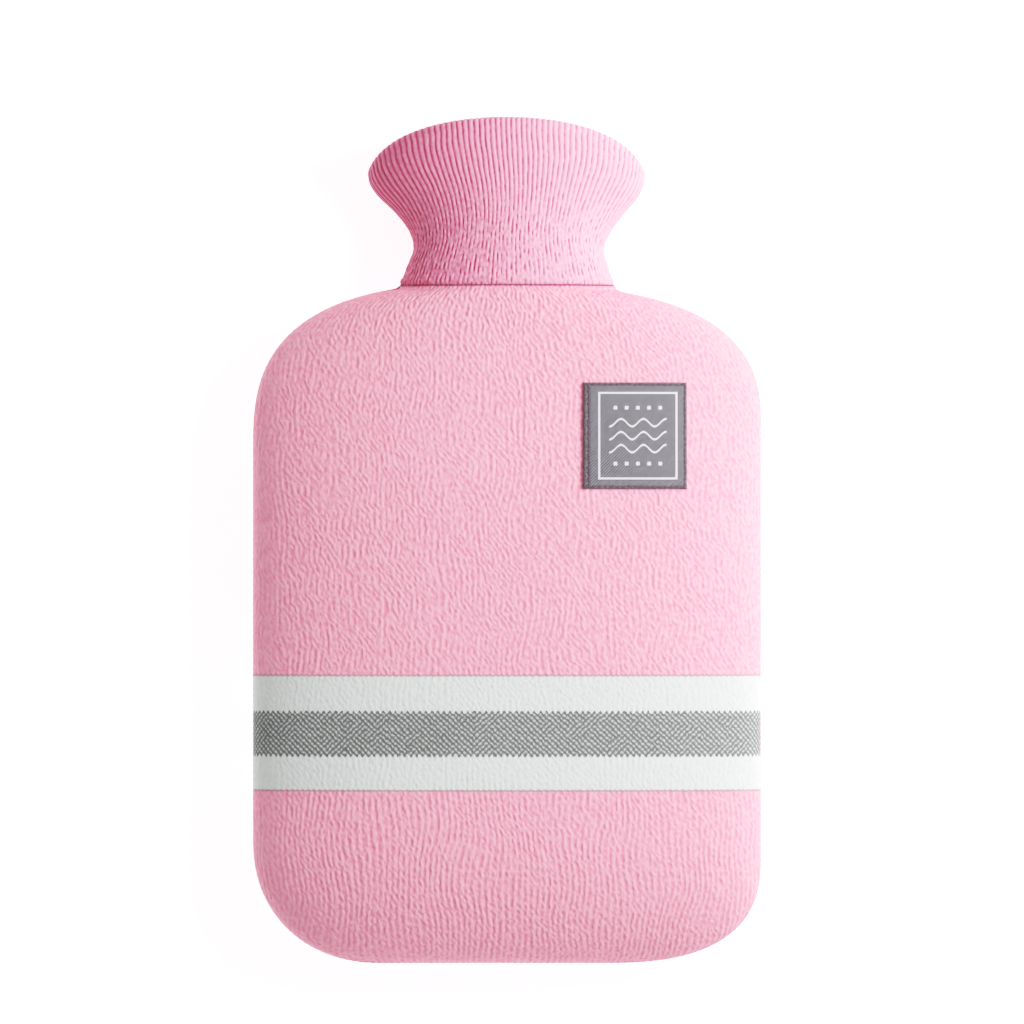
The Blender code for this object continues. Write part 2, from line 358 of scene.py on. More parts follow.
floor_mesh = bpy.data.meshes.new("floor")
corners = ((-1, -1), (1, -1), (1, 1), (-1, 1))
floor_mesh.from_pydata([(x * FLOOR_HALF, y * FLOOR_HALF, -FLOOR_DROP) for x, y in corners],
                       [], [(0, 1, 2, 3)])
floor = add_object("floor", floor_mesh)
floor_paint = bpy.data.materials.new("floor_paint")
floor_paint.use_nodes = True
floor_shader = floor_paint.node_tree.nodes["Principled BSDF"].inputs
floor_shader["Base Color"].default_value = FLOOR_COLOUR
floor_shader["Roughness"].default_value = 0.9
floor_shader["Emission Color"].default_value = (1.0, 1.0, 1.0, 1.0)
floor_shader["Emission Strength"].default_value = FLOOR_GLOW
floor_mesh.materials.append(floor_paint)
print("floor", 2 * FLOOR_HALF, "m wide")

# %% [markdown]
# ## The rule of the body's knit
# The cloth is a brushed knit. Its wales are 2.4 mm apart, and the brushing has made them
# waver, slant in patches and break into dashes. A cosine across the cloth gives the
# crests and furrows. A slow noise bends the wales and a quick one kinks them, a second
# cosine slants them where a noise says so, and knots of brushed yarn break them up. The
# wales are clean near the bottom seam, and more slanting and knotted from the stripes
# upwards. In the grey stripe two yarns take turns, which gives short slanting stitches.
# The piece's own UV map counts metres of cloth both ways.

# %% Stripes and stitches of the body
WALE = 2.42 * MM
SLANT = 3.3 * MM             # height over which a slanting furrow reaches the next wale
COURSE = 2.3 * MM            # height of a stitch in the grey stripe
UV_PER_METRE = 2.0           # keeps the whole cloth inside one UV square
UV_MIDDLE = 0.5              # u of the cloth's middle
UV_BOTTOM = 0.125            # v of the bottom seam
STRIPE_BAND = (69.7 * MM, 115.9 * MM)  # heights above the bottom seam
STRIPE_SOFT = 0.3 * MM       # softness of its edges
GREY_BAND = (83.6 * MM, 101.2 * MM)
GREY_SOFT = 0.25 * MM
# the line where pink meets white is a groove, and its mauve-grey colour is painted shadow in it
BORDER_HALF = 0.4 * MM       # half the width of the mauve line where pink meets white
BORDER_DIP = 0.4             # share of its height that this line loses
KINKED = 0.13                # how far a kink moves a wale, in wales
DRIFTED = 0.20               # how far a slanting furrow drifts, in slants
KNOTTED = 0.47               # height of a knot
CLOTH_MIDDLE = 0.6           # height halfway up a wale
CLEAN_UP_TO = (40 * MM, 100 * MM)  # between these the next two pairs change over
MOST_SLANTING = (0.4, 0.95)  # how far slanting wales take over in the middle of a patch
WALE_HEIGHT = (0.78, 0.5)    # how high a wale stands beside the knots
LEAST_SLANTING = 0.05        # how far slanting wales take over between the patches
SLANT_RANGE = (-0.4, 0.45)   # noise at which a patch starts, and at which it is full
TURN_RANGE = (0.30, 0.32)    # noise at which the grey stitches turn to the other slant
WHITE_HEIGHT = 0.4           # relief of the white cloth, as a share of the pink's
WHITE_BASE = 0.55            # height of its furrows
SLANTED_BASE = 0.15          # what the furrows between slanting grey stitches leave
COUNTER_BASE = 0.4           # what the furrows that cross them leave
HAIRS = 0.3 * MM             # how far the yarn frays over the edge of a stripe
TEETH = 1.3 * MM             # height of the grey stripe's jagged edge

# Width and height of the patches in which a noise says the same
BEND = (32 * MM, 26 * MM)
KINK = (1.4 * MM, 2.0 * MM)
DRIFT = (2.2 * MM, 1.8 * MM)
SLANT_PATCH = (7 * MM, 6 * MM)
KNOT = (1.4 * MM, 1.9 * MM)
TURN_PATCH = (8 * MM, 7 * MM)  # where grey stitches slant one way
SHIFT = (2.1 * MM, 2.9 * MM)  # where grey rows are shifted alike


# %% The body's knit, as a formula
def body_relief(f, place, uv):
    """Height of the cloth's face, from 0 in a furrow to 1 on a crest, and the stripes."""
    u, v, _ = f.split(uv)
    across = f.times(f.add(u, -UV_MIDDLE), 1 / UV_PER_METRE)
    along = f.times(f.add(v, -UV_BOTTOM), 1 / UV_PER_METRE)
    kink = f.noise(place, KINK, 9)
    bend = f.times_add(kink, KINKED, f.noise(place, BEND, 1))
    wales = f.times_add(across, 1.0 / WALE, bend)
    rows = f.times_add(along, 1.0 / SLANT, f.times(f.noise(place, DRIFT, 4), DRIFTED))
    most = f.ramp(along, *CLEAN_UP_TO, *MOST_SLANTING)
    slanting = f.ramp(f.noise(place, SLANT_PATCH, 2), *SLANT_RANGE, LEAST_SLANTING, most)
    crest = f.blend(slanting, f.wave(wales), f.wave(f.add(wales, rows)))
    knots = f.times_add(f.noise(place, KNOT, 3), KNOTTED, CLOTH_MIDDLE)
    pink = f.times_add(f.add(crest, -0.5), f.ramp(along, *CLEAN_UP_TO, *WALE_HEIGHT), knots)

    side = f.ramp(f.noise(place, TURN_PATCH, 5), *TURN_RANGE, 1.0, -1.0)
    courses = f.times_add(along, 1.0 / COURSE, f.times(f.noise(place, SHIFT, 10), KINKED))
    steady = f.times_add(across, 1.0 / WALE, f.times(kink, KINKED))
    slanted = f.wave(f.times_add(courses, side, steady))
    counter = f.wave(f.maths("SUBTRACT", steady, f.times(courses, side)))
    stitches = f.times(f.times_add(slanted, 1 - SLANTED_BASE, SLANTED_BASE),
                       f.times_add(counter, 1 - COUNTER_BASE, COUNTER_BASE))

    teeth = f.times_add(f.wave(steady), TEETH, -TEETH / 2)
    grey = f.between(f.add(along, teeth), *GREY_BAND, GREY_SOFT)
    frayed = f.add(along, f.times_add(crest, HAIRS, -HAIRS / 2))
    stripe = f.between(frayed, *STRIPE_BAND, STRIPE_SOFT)
    # the line where pink meets white: it dips the relief, and its colour is painted shadow
    border = 0.0
    for edge in STRIPE_BAND:
        near = f.between(frayed, edge - BORDER_HALF, edge + BORDER_HALF, STRIPE_SOFT)
        border = f.maths("MAXIMUM", border, near)
    white = f.times_add(pink, WHITE_HEIGHT, WHITE_BASE)
    height = f.blend(grey, f.blend(stripe, pink, white), stitches)
    height = f.times(height, f.times_add(border, -BORDER_DIP, 1.0))
    return height, stripe, grey, border


# %% [markdown]
# ## Geometry Nodes that raise the cloth
# A tree takes the smooth mesh of a piece, works out the height of the knit at each
# point and moves the point inwards along its normal where there is a furrow. The
# attribute `face` says how much of that a point takes, so that the rims and the inside
# stay put.

# %% Helpers for the trees
def geometry_tree(name, sizes):
    """An empty tree with a geometry in and out, and named inputs with their values."""
    tree = bpy.data.node_groups.new(name, "GeometryNodeTree")
    tree.interface.new_socket("Cloth", in_out="INPUT", socket_type="NodeSocketGeometry")
    for label, value in sizes.items():
        made = tree.interface.new_socket(label, in_out="INPUT", socket_type="NodeSocketFloat")
        made.default_value = value
    tree.interface.new_socket("Material", in_out="INPUT", socket_type="NodeSocketMaterial")
    tree.interface.new_socket("Made", in_out="OUTPUT", socket_type="NodeSocketGeometry")
    return tree, Formula(tree), tree.nodes.new("NodeGroupInput").outputs


def close_tree(f, made, given):
    """End a tree: instances become real faces, and the faces take the material."""
    real = f.out("GeometryNodeRealizeInstances", {0: made})
    painted = f.out("GeometryNodeSetMaterial", {"Geometry": real, "Material": given["Material"]})
    f.node("NodeGroupOutput", {0: painted})


def run_tree(piece, tree, material, sizes=()):
    """Give the piece the mesh that the tree makes of it, and leave no modifier on it."""
    modifier = piece.modifiers.new(tree.name, "NODES")
    modifier.node_group = tree
    wanted = dict(sizes, Material=material)
    for item in tree.interface.items_tree:
        if item.item_type == "SOCKET" and item.name in wanted:
            modifier[item.identifier] = wanted[item.name]
    shown = piece.evaluated_get(bpy.context.evaluated_depsgraph_get())
    mesh = bpy.data.meshes.new_from_object(shown)
    piece.modifiers.remove(modifier)
    plain = piece.data
    piece.data = mesh
    bpy.data.meshes.remove(plain)
    mesh.name = piece.name
    return piece


# %% A tree that raises cloth by any relief
def attribute(f, name, kind):
    return f.out("GeometryNodeInputNamedAttribute", {"Name": name}, data_type=kind)


def relief_tree(name, relief, depth):
    """A tree that moves each point inwards by what the relief's height leaves of a depth."""
    tree, f, given = geometry_tree(name, {"Depth": depth})
    height = relief(f, f.out("GeometryNodeInputPosition"), attribute(f, "knit", "FLOAT_VECTOR"))
    share = f.times(given["Depth"], attribute(f, "face", "FLOAT"))
    inwards = f.scaled(f.out("GeometryNodeInputNormal"),
                       f.times(f.maths("SUBTRACT", height, 1.0), share))
    moved = f.out("GeometryNodeSetPosition", {"Geometry": given["Cloth"], "Offset": inwards})
    close_tree(f, moved, given)
    print(name, "tree has", len(tree.nodes), "nodes")
    return tree


# %% The tree that knits the body
BODY_DEPTH = 0.20 * MM

knit_tree = relief_tree("body knit", lambda *where: body_relief(*where)[0], BODY_DEPTH)

# %% [markdown]
# ## The yarn's materials
# The furrows are painted darker and deeper in colour than the crests, as painted shade,
# for light reaches them only after it has bounced off the yarn. A finer noise, a hair's
# breadth wide, gives the fibres. Sheen makes the fuzz pale where the light grazes it. The
# stripes take their place from the same rule as the relief, so their jagged edges fit the stitches.

# %% Colours, as the eye sees them, turned into Blender's linear values
def linear(red, green, blue):
    """Linear colour with alpha from 8-bit sRGB values."""
    def channel(value):
        value /= 255
        return value / 12.92 if value <= 0.04045 else ((value + 0.055) / 1.055) ** 2.4
    return (channel(red), channel(green), channel(blue), 1.0)


# The furrow and the crest colour of each yarn. The darker furrow colour is painted shade; in the
# grey it is also the darker of the stripe's two yarns.
PINK = linear(250, 163, 184), linear(255, 182, 201)
ROSE = linear(208, 99, 133), linear(251, 184, 205)
WHITE = linear(208, 211, 209), linear(225, 227, 225)
GREY = linear(131, 132, 131), linear(201, 202, 201)
# painted shadow: the colour of the groove where pink meets white
BORDER_SHADOW = linear(186, 150, 162)


def yarn_material(name, roughness, sheen):
    """A material for fuzzy yarn, its formula, its shader's inputs and its coordinates."""
    made = bpy.data.materials.new(name)
    made.use_nodes = True
    shader = made.node_tree.nodes["Principled BSDF"].inputs
    shader["Roughness"].default_value = roughness
    shader["Specular IOR Level"].default_value = 0.15
    shader["Sheen Weight"].default_value = sheen
    shader["Sheen Roughness"].default_value = 0.55
    shader["Sheen Tint"].default_value = (1.0, 0.93, 0.95, 1.0)
    f = Formula(made.node_tree)
    return made, f, shader, f.node("ShaderNodeTexCoord").outputs["Object"]


def knit_uv(f):
    return f.out("ShaderNodeUVMap", uv_map="knit")


def finish_yarn(f, shader, colour, height, distance):
    """Give the shader its colour and its bump."""
    f.feed(shader["Base Color"], colour)
    f.feed(shader["Normal"], f.out("ShaderNodeBump", {"Distance": distance, "Height": height}))


# %% The body's yarn
FIBRE = (0.22 * MM, 0.9 * MM)  # width and height, as for the knit's patches
GRAIN = (1.1 * MM, 1.5 * MM)
MOTTLE = (28 * MM, 28 * MM)
SHADES = {"grain": 0.08, "fibre": 0.08, "mottle": 0.07}  # how much each noise shades
FUZZ = 0.12                  # how high grain and fibres stand, against a wale
# how far the painted shadow covers pink and white along that groove
BORDER_SHADOW_SHARE = 0.7            # how far the mauve line covers pink and white
BODY_BUMP = 0.28 * MM
DARKEST, PALEST = 0.05, 1.0  # heights that show as furrow and as crest

body_yarn, f, shader, place = yarn_material("body_yarn", roughness=0.85, sheen=0.06)
height, stripe, grey, border = body_relief(f, place, knit_uv(f))
grain = f.noise(place, GRAIN, 8)
fibre = f.noise(place, FIBRE, 6, detail=1.0)
mottle = f.noise(place, MOTTLE, 7, detail=2.0)
shade = f.times_add(grain, SHADES["grain"], f.times_add(
    fibre, SHADES["fibre"], f.times(mottle, SHADES["mottle"])))
# painted shade: low in the relief, in the furrows, each yarn takes its darker colour; the noises
# add random tone
lit = f.ramp(f.add(height, shade), DARKEST, PALEST)
pink, white, melange = [f.tint(lit, *yarn) for yarn in (PINK, WHITE, GREY)]
colour = f.tint(stripe, pink, white)
colour = f.tint(grey, colour, melange)
# painted shadow along the groove where pink meets white
colour = f.tint(f.times(border, BORDER_SHADOW_SHARE), colour, BORDER_SHADOW)
fuzzy = f.times_add(grain, FUZZ, f.times_add(fibre, FUZZ, height))
finish_yarn(f, shader, colour, fuzzy, BODY_BUMP)
print("body_yarn has", len(f.tree.nodes), "nodes")

# %% [markdown]
# ## Fine meshes on the solids' shapes
# A panel is a grid of points on the body's formula. Its columns are spaced evenly along
# the curve of the section, and its rows along the outline, so that the faces stay about
# as large everywhere. The inside is hardly seen, so it gets one row and one column for
# every eight outside, and fans of triangles join the two along the rim.

# %% Helpers for lines and grids of points
CURVE_POINTS = 4001          # on a curve that is measured
INSIDE_STEP = 8


def unit(vectors):
    """The vectors at length 1."""
    return vectors / np.maximum(np.linalg.norm(vectors, axis=-1, keepdims=True), 1e-12)


def lengths_along(points, axis=0):
    """Length of each line of points, from its start to each point."""
    steps = np.diff(points, axis=axis, prepend=np.take(points, [0], axis=axis))
    return np.cumsum(np.linalg.norm(steps, axis=-1), axis=axis)


def evenly(curve, low, high, count):
    """Values from low to high that space the points of a curve evenly, and its length."""
    fine = np.linspace(low, high, CURVE_POINTS)
    lengths = lengths_along(curve(fine))
    return np.interp(np.linspace(0.0, lengths[-1], count), lengths, fine), lengths[-1]


def grid_faces(ids, closed=False):
    """Quads of a grid of point numbers."""
    left = ids if closed else ids[:, :-1]
    right = np.roll(ids, -1, axis=1) if closed else ids[:, 1:]
    quads = np.stack([left[:-1], right[:-1], right[1:], left[1:]], axis=-1)
    return quads.reshape(-1, 4).tolist()


def bridge(fine, coarse):
    """Triangles between an edge of a fine grid and the same edge of a coarse one."""
    step = (len(fine) - 1) // (len(coarse) - 1)
    faces = []
    for i in range(len(coarse) - 1):
        first, middle, last = i * step, i * step + step // 2, (i + 1) * step
        faces += [(fine[j], fine[j + 1], coarse[i]) for j in range(first, middle)]
        faces += [(fine[j], fine[j + 1], coarse[i + 1]) for j in range(middle, last)]
        faces.append((fine[middle], coarse[i + 1], coarse[i]))
    return faces


# %% Helpers that make cloth of them
def number_points(outer, inner):
    """Numbers of the points of two grids, one after the other."""
    fine = np.arange(outer[..., 0].size).reshape(outer.shape[:2])
    return fine, fine.size + np.arange(inner[..., 0].size).reshape(inner.shape[:2])


def in_one_list(outer, inner):
    """The values of two grids, as their points are numbered."""
    width = outer.shape[2:]
    return np.concatenate([outer.reshape((-1,) + width), inner.reshape((-1,) + width)])


def cloth_piece(name, points, faces, knit, face):
    """An object with its UV map and face attribute, both given for each point."""
    mesh = bpy.data.meshes.new(name)
    mesh.from_pydata(points.tolist(), [], faces)
    mesh.update()
    bm = bmesh.new()
    bm.from_mesh(mesh)
    bmesh.ops.recalc_face_normals(bm, faces=bm.faces)
    bm.to_mesh(mesh)
    bm.free()
    corner = np.empty(len(mesh.loops), dtype=np.int32)
    mesh.loops.foreach_get("vertex_index", corner)
    uv = knit[corner].astype(np.float32)
    starts = np.empty(len(mesh.polygons), dtype=np.int32)
    mesh.polygons.foreach_get("loop_start", starts)
    # Where a round of cloth closes, u goes on past 1 instead of back to 0
    sizes = np.diff(np.append(starts, len(corner)))
    wide = np.maximum.reduceat(uv[:, 0], starts) - np.minimum.reduceat(uv[:, 0], starts)
    wraps = np.repeat(wide > 0.5, sizes) & (uv[:, 0] < 0.5)
    uv[wraps, 0] += 1.0
    mesh.uv_layers.new(name="knit").data.foreach_set("uv", uv.ravel())
    mesh.attributes.new("face", "FLOAT", "POINT").data.foreach_set("value", face.astype(np.float32))
    mesh.shade_smooth()
    print(name, len(mesh.polygons), "faces")
    return add_object(name, mesh)


def sheet_of_cloth(name, outer, inner, knit, face):
    """A closed sheet: its face on a fine grid, its inside on a coarse one, and the rims."""
    inner, inner_knit, inner_face = [
        grid[::INSIDE_STEP, ::INSIDE_STEP] for grid in (inner, knit, 0.0 * face)]
    fine, coarse = number_points(outer, inner)
    faces = grid_faces(fine) + grid_faces(coarse)
    for a, b in ((fine[0], coarse[0]), (fine[-1], coarse[-1]),
                 (fine[:, 0], coarse[:, 0]), (fine[:, -1], coarse[:, -1])):
        faces += bridge(a.tolist(), b.tolist())
    return cloth_piece(name, in_one_list(outer, inner), faces, in_one_list(knit, inner_knit),
                       in_one_list(face, inner_face))


# %% [markdown]
# ## Front and back
# Both panels share one function. The rims lie in the plane of the seam, and near the
# seam the cloth is drawn in a little, as sewing does. A wale keeps its place in the
# middle of the cloth and follows the outline only in part where the cover narrows, so it
# leans at the shoulders and at the bottom corners.

# %% Grid of a panel
PANEL_COLUMNS = 344          # both are whole eights, for the coarse inside
PANEL_ROWS = 264
WALE_LEAN = 0.4              # 0 keeps wales upright, 1 lets them follow the outline
LOW_LEAN = 0.1               # the same in the lower half
DRAWN_IN = 0.7 * MM          # how deep the sewing draws the edges in
DRAWN_REACH = 1.6 * MM
MIDDLE_Y = BOTTOM + 130 * MM  # a row where both sides are straight
CROWN_SHARE = 0.7            # how much the crown's rise counts when rows are spaced


def outline_curve(y):
    """The outlines and the crown together, to space the rows by."""
    return join(full_width(y), y, CROWN_SHARE * swell(y, 1))


def along_cloth(y):
    """Length of cloth up to a row, counted so that the stripes keep their true heights."""
    fine = np.linspace(BOTTOM, PANEL_TOP, CURVE_POINTS)
    lengths = lengths_along(join(fine, swell(fine, 1)))
    lengths += STRIPE_BAND[0] - np.interp(BOTTOM + STRIPE_BAND[0], fine, lengths)
    return np.interp(y, fine, lengths)


def panel_cloth(name, facing):
    """The mesh of a panel before its knit is raised, and the sizes of its cloth."""
    rows, _ = evenly(outline_curve, BOTTOM, PANEL_TOP, PANEL_ROWS + 1)
    turns, arc = evenly(lambda turn: panel_surface(MIDDLE_Y, turn, facing),
                        0.0, math.pi, PANEL_COLUMNS + 1)
    y, turn = np.meshgrid(rows, turns, indexing="ij")
    outer = panel_surface(y, turn, facing)
    normals = facing * unit(np.cross(np.gradient(outer, axis=0), np.gradient(outer, axis=1)))
    for column, sign in ((0, 1), (-1, -1)):
        rim = np.gradient(outer[:, column], axis=0)
        normals[:, column] = sign * join(rim[:, 1], -rim[:, 0], 0.0)
    normals[0, 1:-1] = (0.0, -1.0, 0.0)
    normals[-1, :, 1] = 0.0
    normals = unit(normals)
    quads = np.linalg.norm(np.cross(outer[1:, 1:] - outer[:-1, :-1],
                                    outer[1:, :-1] - outer[:-1, 1:]), axis=-1)
    sizes = {"flat": (round(arc, 3), round(float(along_cloth(PANEL_TOP) - along_cloth(BOTTOM)), 3)),
             "area": round(0.5 * float(quads.sum()), 4)}

    to_seam = np.abs(outer[..., 2] - SEAM_Z)
    to_top = PANEL_TOP - y
    near = np.exp(-(to_seam / DRAWN_REACH) ** 2) + np.exp(-(to_top / DRAWN_REACH) ** 2)
    surface = outer - (DRAWN_IN * np.minimum(near, 1.0))[..., None] * normals
    face = smoothstep(np.minimum(to_seam, to_top) / (2 * DRAWN_REACH))

    run = lengths_along(outer, axis=1)
    off_middle = run[:, [PANEL_COLUMNS // 2]] - run
    lean = np.where(y > MIDDLE_Y, WALE_LEAN, LOW_LEAN)
    u = UV_MIDDLE + UV_PER_METRE * off_middle / (full_width(y) / (2 * HALF_WIDTH)) ** lean
    knit = join(u, UV_BOTTOM + UV_PER_METRE * along_cloth(y))
    piece = sheet_of_cloth(name, surface, outer - KNIT * normals, knit, face)
    return piece, sizes


# %% Make the front and the back
front_cloth, front_sizes = panel_cloth("front_cloth", 1)
back_cloth, back_sizes = panel_cloth("back_cloth", -1)
for piece, sizes in ((front_cloth, front_sizes), (back_cloth, back_sizes)):
    run_tree(piece, knit_tree, body_yarn)
    print(piece.name, sizes)

# %% [markdown]
# ## The ribbed collar
# The collar is one tube of ribbed knit. It is narrow above the shoulders, flares towards
# the mouth, and its top edge is turned in as a hem. It stands out more in front than
# behind. The mesh has six columns for each rib, and the columns themselves waver, so
# every furrow stays sharp. The ribs are evenly spaced where the collar is narrow, and
# crowd a little to the middle at the mouth.

# %% Shape of the collar
HALF, FRONT, BACK, LEAN = 1, 2, 3, 4
COLLAR_SECTIONS = np.array((
    # along, half width, front above the seam, back below it, lean to the right
    (0.00, 43.2, 21.5, 19.0, 0.0),
    (0.16, 40.8, 23.5, 19.2, 0.2),
    (0.33, 38.5, 26.0, 19.6, 0.7),
    (0.48, 40.5, 28.0, 20.2, 1.3),
    (0.65, 45.8, 30.5, 21.0, 1.3),
    (0.81, 52.3, 33.0, 22.0, 0.6),
    (0.92, 55.1, 34.5, 22.7, 0.0),
    (1.00, 55.8, 35.5, 23.1, -0.2),
))
MOUTH_TIP = BOTTOM + 316.5 * MM
MOUTH_FOLD = 7 * MM
MOUTH_ARCH = 19.2 * MM       # how much higher the mouth starts in the middle
ARCH_ROUNDING = 0.30
ARCH_POWER = 0.75
RIBS = 112
FAN = 0.09                   # how far the ribs crowd at the mouth, in radians
HEM = 5.2 * MM               # thickness of the two layers
HEM_END = 0.60               # where the hem ends, as a share of the collar's length
HEM_STEP = 0.04


# %% The collar's surface
def table_line(column, at):
    """Smooth line through a column of the table of sections, in metres."""
    places, values = COLLAR_SECTIONS[:, 0], COLLAR_SECTIONS[:, column] * MM
    last = len(places) - 1
    row = np.clip(np.searchsorted(places, at, side="left") - 1, 0, last - 1)

    def slope(index):
        low, high = np.maximum(index - 1, 0), np.minimum(index + 1, last)
        return (values[high] - values[low]) / (places[high] - places[low])

    span = places[row + 1] - places[row]
    t = (at - places[row]) / span
    blend = smoothstep(t)
    return (values[row] * (1.0 - blend) + values[row + 1] * blend
            + span * t * (1.0 - t) * ((1.0 - t) * slope(row) - t * slope(row + 1)))


def arch(turn):
    """Lift of the mouth's edge: 0 at the collar's sides, 1 in the middle."""
    def curve(sine):
        return (sine ** 2 + ARCH_ROUNDING ** 2) ** (ARCH_POWER / 2)
    return (curve(np.sin(turn)) - curve(0.0)) / (curve(1.0) - curve(0.0))


def ring(turn, half, front, back):
    """Section of the collar: how far right and how far up a turn leads."""
    flatness = 2.0 / COLLAR_POWER
    up = signed_power(np.sin(turn), flatness)
    return signed_power(np.cos(turn), flatness) * half, up * np.where(up > 0.0, front, back)


def collar_surface(along, turn):
    """Outer surface of the collar, from base (0) to mouth (1), all round."""
    turn = turn + FAN * along * np.sin(2.0 * turn)
    base = PANEL_TOP + GAP
    top = MOUTH_TIP + MOUTH_ARCH * arch(turn)
    right, up = ring(turn, *[table_line(column, along) for column in (HALF, FRONT, BACK)])
    return join(right + table_line(LEAN, along), base + (top - base) * along, SEAM_Z + up)


def collar_normals(along, turn):
    """Outward normals, and the directions along the wall towards the mouth."""
    step = 1e-4
    around = collar_surface(along, turn + step) - collar_surface(along, turn - step)
    rise = (collar_surface(np.minimum(along + step, 1.0), turn)
            - collar_surface(np.maximum(along - step, 0.0), turn))
    normal = unit(np.cross(rise, around))
    upwards = unit(np.cross(around, normal))
    level = np.array(along == 0.0)[..., None]
    return unit(np.where(level, normal * (1.0, 0.0, 1.0), normal)), upwards


def under_surface(along, turn, depth):
    """Points at a depth below the collar's outer surface."""
    return collar_surface(along, turn) - depth * collar_normals(along, turn)[0]


def collar_thickness(along):
    """One layer of knit up to the hem's end, then two, swelling into the mouth's edge."""
    doubled = smoothstep((along - HEM_END) / HEM_STEP)
    swollen = HEM + (MOUTH_FOLD - HEM) * smoothstep((along - HEM_END) / (1.0 - HEM_END))
    return KNIT + (swollen - KNIT) * doubled


# %% How fine the collar's mesh is, and how its ribs waver
POINTS_A_RIB = 6
WALL_ROWS = 72
FOLD_ROWS = 9
HEM_ROWS = 20
INSIDE_ROWS = 8
RIB_WAVER = 0.30             # in ribs
RIB_DEPTH = 0.5 * MM
PUFF = 0.5 * MM              # how far the collar puffs out above its seam
PUFF_REACH = 0.07            # all reaches are shares of the collar's length
SEWN_IN = 0.5 * MM           # how deep the sewing draws its edge in
SEWN_REACH = 0.02
RIBLESS_REACH = 0.03
WAVERS = (
    # waves per radian, waves per length, share
    (2.2, 2.6, 0.75),
    (9.0, 9.0, 0.35),
)


def wavering(turn, along):
    """How far the ribs stray from their even places, in ribs."""
    stray = np.zeros(turn.shape)
    for index in np.ndindex(turn.shape):
        angle, height = turn[index], along[index]
        for per_radian, per_length, share in WAVERS:
            at = Vector((per_radian * math.cos(angle), per_radian * math.sin(angle),
                         per_length * height))
            stray[index] += share * noise.noise(at)
    return stray


def narrow_section(turn):
    """The collar where it is narrowest, by which the ribs are spaced."""
    narrowest = COLLAR_SECTIONS[np.argmin(COLLAR_SECTIONS[:, HALF]), HALF:LEAN] * MM
    return join(*ring(turn, *narrowest))


# %% The collar's points
columns = RIBS * POINTS_A_RIB
even, girth = evenly(narrow_section, 0.0, 2 * math.pi, columns + 1)
wall = np.linspace(0.0, 1.0, WALL_ROWS + 1)
row_along, row_turn = np.meshgrid(wall, even[:-1], indexing="ij")
stray = wavering(row_turn, row_along) * RIB_WAVER * 2 * math.pi / RIBS
row_turn = row_turn + stray
normal, upwards = collar_normals(row_along, row_turn)
wall_points = collar_surface(row_along, row_turn)
puff = PUFF * np.sin(math.pi * np.clip(row_along / PUFF_REACH, 0.0, 1.0))
drawn = SEWN_IN * np.exp(-(row_along / SEWN_REACH) ** 2)
outside = wall_points + (puff - drawn)[..., None] * normal

edge_normal, edge_up = normal[-1], upwards[-1]
centre = wall_points[-1] - MOUTH_FOLD / 2 * edge_normal
angles = np.linspace(0.0, math.pi, FOLD_ROWS + 1)[1:-1]
fold = np.stack([centre + MOUTH_FOLD / 2 * (math.cos(a) * edge_normal + math.sin(a) * edge_up)
                 for a in angles])

hem = np.linspace(1.0, HEM_END, HEM_ROWS + 1)
hem_along, hem_turn = np.meshgrid(hem, row_turn[-1], indexing="ij")
hem_points = under_surface(hem_along, hem_turn, collar_thickness(hem_along)[..., None])

inside = np.linspace(HEM_END, 0.0, INSIDE_ROWS + 1)[1:]
inside_along, inside_turn = np.meshgrid(inside, row_turn[0, ::POINTS_A_RIB], indexing="ij")
inside_points = under_surface(inside_along, inside_turn, KNIT)

skin = np.concatenate([outside, fold, hem_points])
print("collar:", columns, "columns,", len(skin), "rows, girth", round(girth / MM), "mm")

# %% Join the collar's faces
fine, coarse = number_points(skin, inside_points)
faces = grid_faces(fine, closed=True) + grid_faces(coarse, closed=True)
for a, b in ((fine[-1], coarse[0]), (fine[0], coarse[-1])):
    faces += bridge(a.tolist() + [int(a[0])], b.tolist() + [int(b[0])])
down_skin = lengths_along(skin[:, columns // 4])
knit = join(np.arange(columns) / columns, (UV_PER_METRE * down_skin)[:, None])
inside_knit = np.broadcast_to(knit[-1:, ::POINTS_A_RIB], inside_points.shape[:2] + (2,))
face = np.ones(skin.shape[:2])
face[:WALL_ROWS + 1] = smoothstep(row_along / RIBLESS_REACH)
face[-1] = 0.0
collar_cloth = cloth_piece("collar_cloth", in_one_list(skin, inside_points), faces,
                           in_one_list(knit, inside_knit),
                           in_one_list(face, np.zeros(coarse.shape)))

# %% [markdown]
# ## The rule of the ribs
# A rib is a broad round crest between two narrow furrows, which a flattened cosine gives.
# Low down, where the collar is drawn together, noise breaks the furrows up, so the ribs
# look knitted and not machined. The furrows take a darker colour, which is painted shade.
# The colour is also painted deeper at the left of the collar and paler at the right:
# painted shade and painted light, as the light falls from the right.

# %% Ribs, as a formula
RIB_BREAK = (2.2 * MM, 2.6 * MM)
RIB_LUMP = (1.2 * MM, 1.6 * MM)
FLATTENED = 0.7              # power of the cosine
LOW_DOWN = (20 * MM, 50 * MM)  # above the seam, where the breaks grow fewer
BROKEN = (1.0, 0.4)          # how broken the ribs are below and above
BREAK_RANGE = (-0.5, 0.45)   # noise at which a break starts, and at which it is full
BREAK_HEIGHT = 0.75          # where yarn fills a furrow
LUMP_HEIGHT = 0.24


